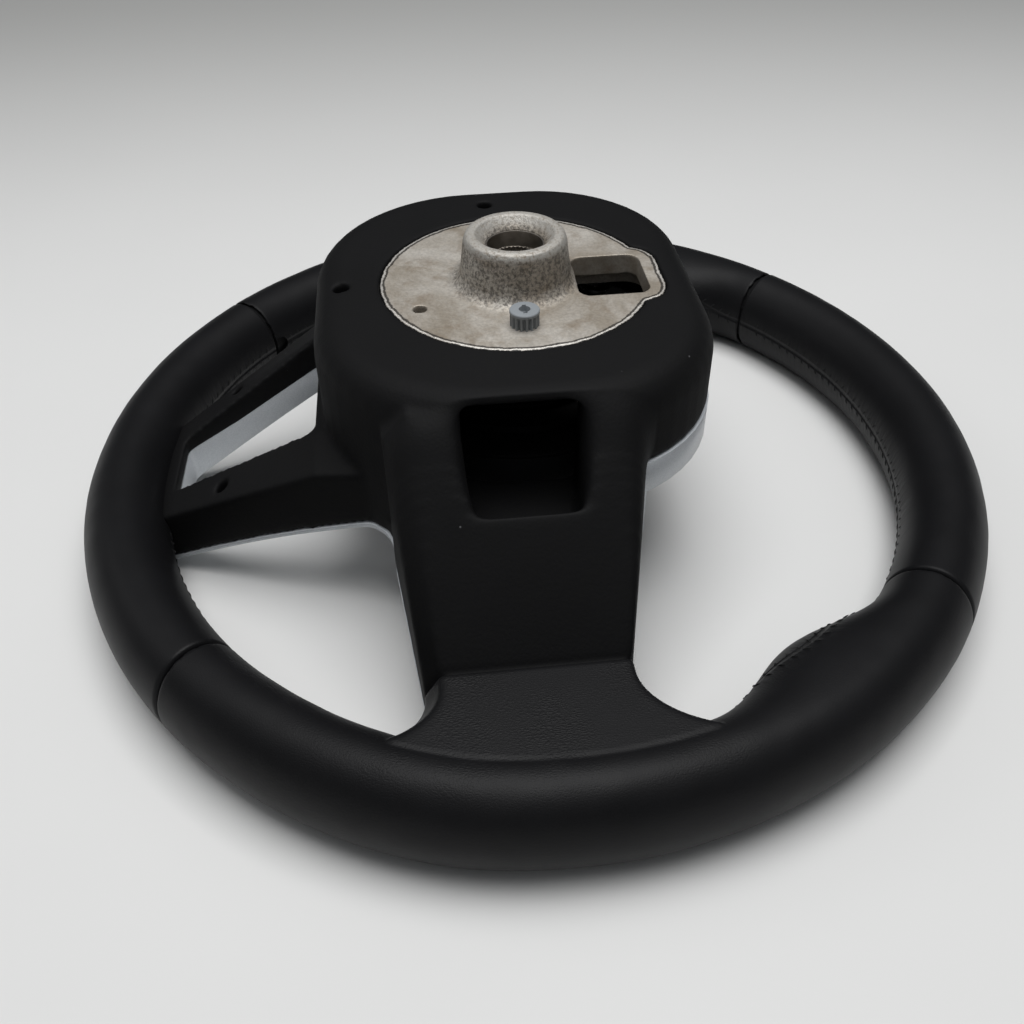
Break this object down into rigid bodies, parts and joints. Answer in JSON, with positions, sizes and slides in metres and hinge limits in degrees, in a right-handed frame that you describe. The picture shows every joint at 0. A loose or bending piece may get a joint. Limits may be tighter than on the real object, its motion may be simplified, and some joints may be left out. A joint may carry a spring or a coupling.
{
  "type": "car steering wheel",
  "caption": "Leather-covered three-spoke car steering wheel with a cast hub, foam casing, silver front trim, a sprung horn pad and thumb switches.",
  "frame": {"origin": "centre of the pilot bore in the boss of the hub, on the steering axis", "axes": "+Z along the steering axis, away from the driver and towards the column; +Y towards twelve o'clock of the wheel; +X towards the driver's left"},
  "size_m": [0.37, 0.3575, 0.121],
  "materials": {
    "casting": "raw die cast, mottled",
    "steel": "machined, darkened",
    "foam": "fine matte grain",
    "leather": "fine grain, satin",
    "trim": "satin silver paint",
    "screw": "dark zinc",
    "peg": "moulded grey",
    "pad": "soft grain",
    "sheet": "pressed sheet",
    "cushion": "folded woven cloth",
    "canister": "turned",
    "pin": "ground",
    "spring": "spring wire",
    "pod": "fine grain",
    "touch": "polished black",
    "key": "fine grain"
  },
  "bodies": {
    "wheel": {"armature": "casting", "rim_core": "casting", "splined_insert": "steel", "foam_body": "foam", "rim_foam": "foam", "leather_top": "leather", "leather_bottom": "leather", "leather_left": "leather", "leather_right": "leather", "bezel": "trim", "bezel_screws": "screw", "guide_peg": "peg", "horn_springs": "spring", "pod_left": "pod", "pod_right": "pod"},
    "horn_module": {"horn_pad": "pad", "airbag_can": "sheet", "airbag_cushion": "cushion", "inflator": "canister", "guide_pins": "pin"},
    "touch_pad_left": {"touch_pad_left": "touch"},
    "upper_key_left": {"upper_key_left": "key"},
    "lower_key_left": {"lower_key_left": "key"},
    "rocker_left": {"rocker_left": "key"},
    "touch_pad_right": {"touch_pad_right": "touch"},
    "upper_key_right": {"upper_key_right": "key"},
    "lower_key_right": {"lower_key_right": "key"},
    "rocker_right": {"rocker_right": "key"}
  },
  "joints": [
    {"name": "horn_press", "type": "slide", "parent": "wheel", "child": "horn_module", "axis": [0, 0, 1], "range_m": [0, 0.0025], "stiffness_N_per_m": 6000, "springref_m": -0.002, "deforming": ["horn_springs"]},
    {"name": "touch_pad_left_press", "type": "slide", "parent": "wheel", "child": "touch_pad_left", "axis": [0.5075, 0, 0.8616], "range_m": [0, 0.0008], "stiffness_N_per_m": 900, "springref_m": -0.001},
    {"name": "upper_key_left_press", "type": "slide", "parent": "wheel", "child": "upper_key_left", "axis": [0.5075, 0, 0.8616], "range_m": [0, 0.0008], "stiffness_N_per_m": 900, "springref_m": -0.001},
    {"name": "lower_key_left_press", "type": "slide", "parent": "wheel", "child": "lower_key_left", "axis": [0.5075, 0, 0.8616], "range_m": [0, 0.0008], "stiffness_N_per_m": 900, "springref_m": -0.001},
    {"name": "rocker_left_rock", "type": "hinge", "parent": "wheel", "child": "rocker_left", "pos_m": [0.11494, -0.008, -0.08692], "axis": [0.8616, 0, -0.5075], "range_deg": [-4, 4], "stiffness_Nm_per_rad": 0.5},
    {"name": "touch_pad_right_press", "type": "slide", "parent": "wheel", "child": "touch_pad_right", "axis": [-0.5075, 0, 0.8616], "range_m": [0, 0.0008], "stiffness_N_per_m": 900, "springref_m": -0.001},
    {"name": "upper_key_right_press", "type": "slide", "parent": "wheel", "child": "upper_key_right", "axis": [-0.5075, 0, 0.8616], "range_m": [0, 0.0008], "stiffness_N_per_m": 900, "springref_m": -0.001},
    {"name": "lower_key_right_press", "type": "slide", "parent": "wheel", "child": "lower_key_right", "axis": [-0.5075, 0, 0.8616], "range_m": [0, 0.0008], "stiffness_N_per_m": 900, "springref_m": -0.001},
    {"name": "rocker_right_rock", "type": "hinge", "parent": "wheel", "child": "rocker_right", "pos_m": [-0.11494, -0.008, -0.08692], "axis": [0.8616, 0, 0.5075], "range_deg": [-4, 4], "stiffness_Nm_per_rad": 0.5}
  ]
}
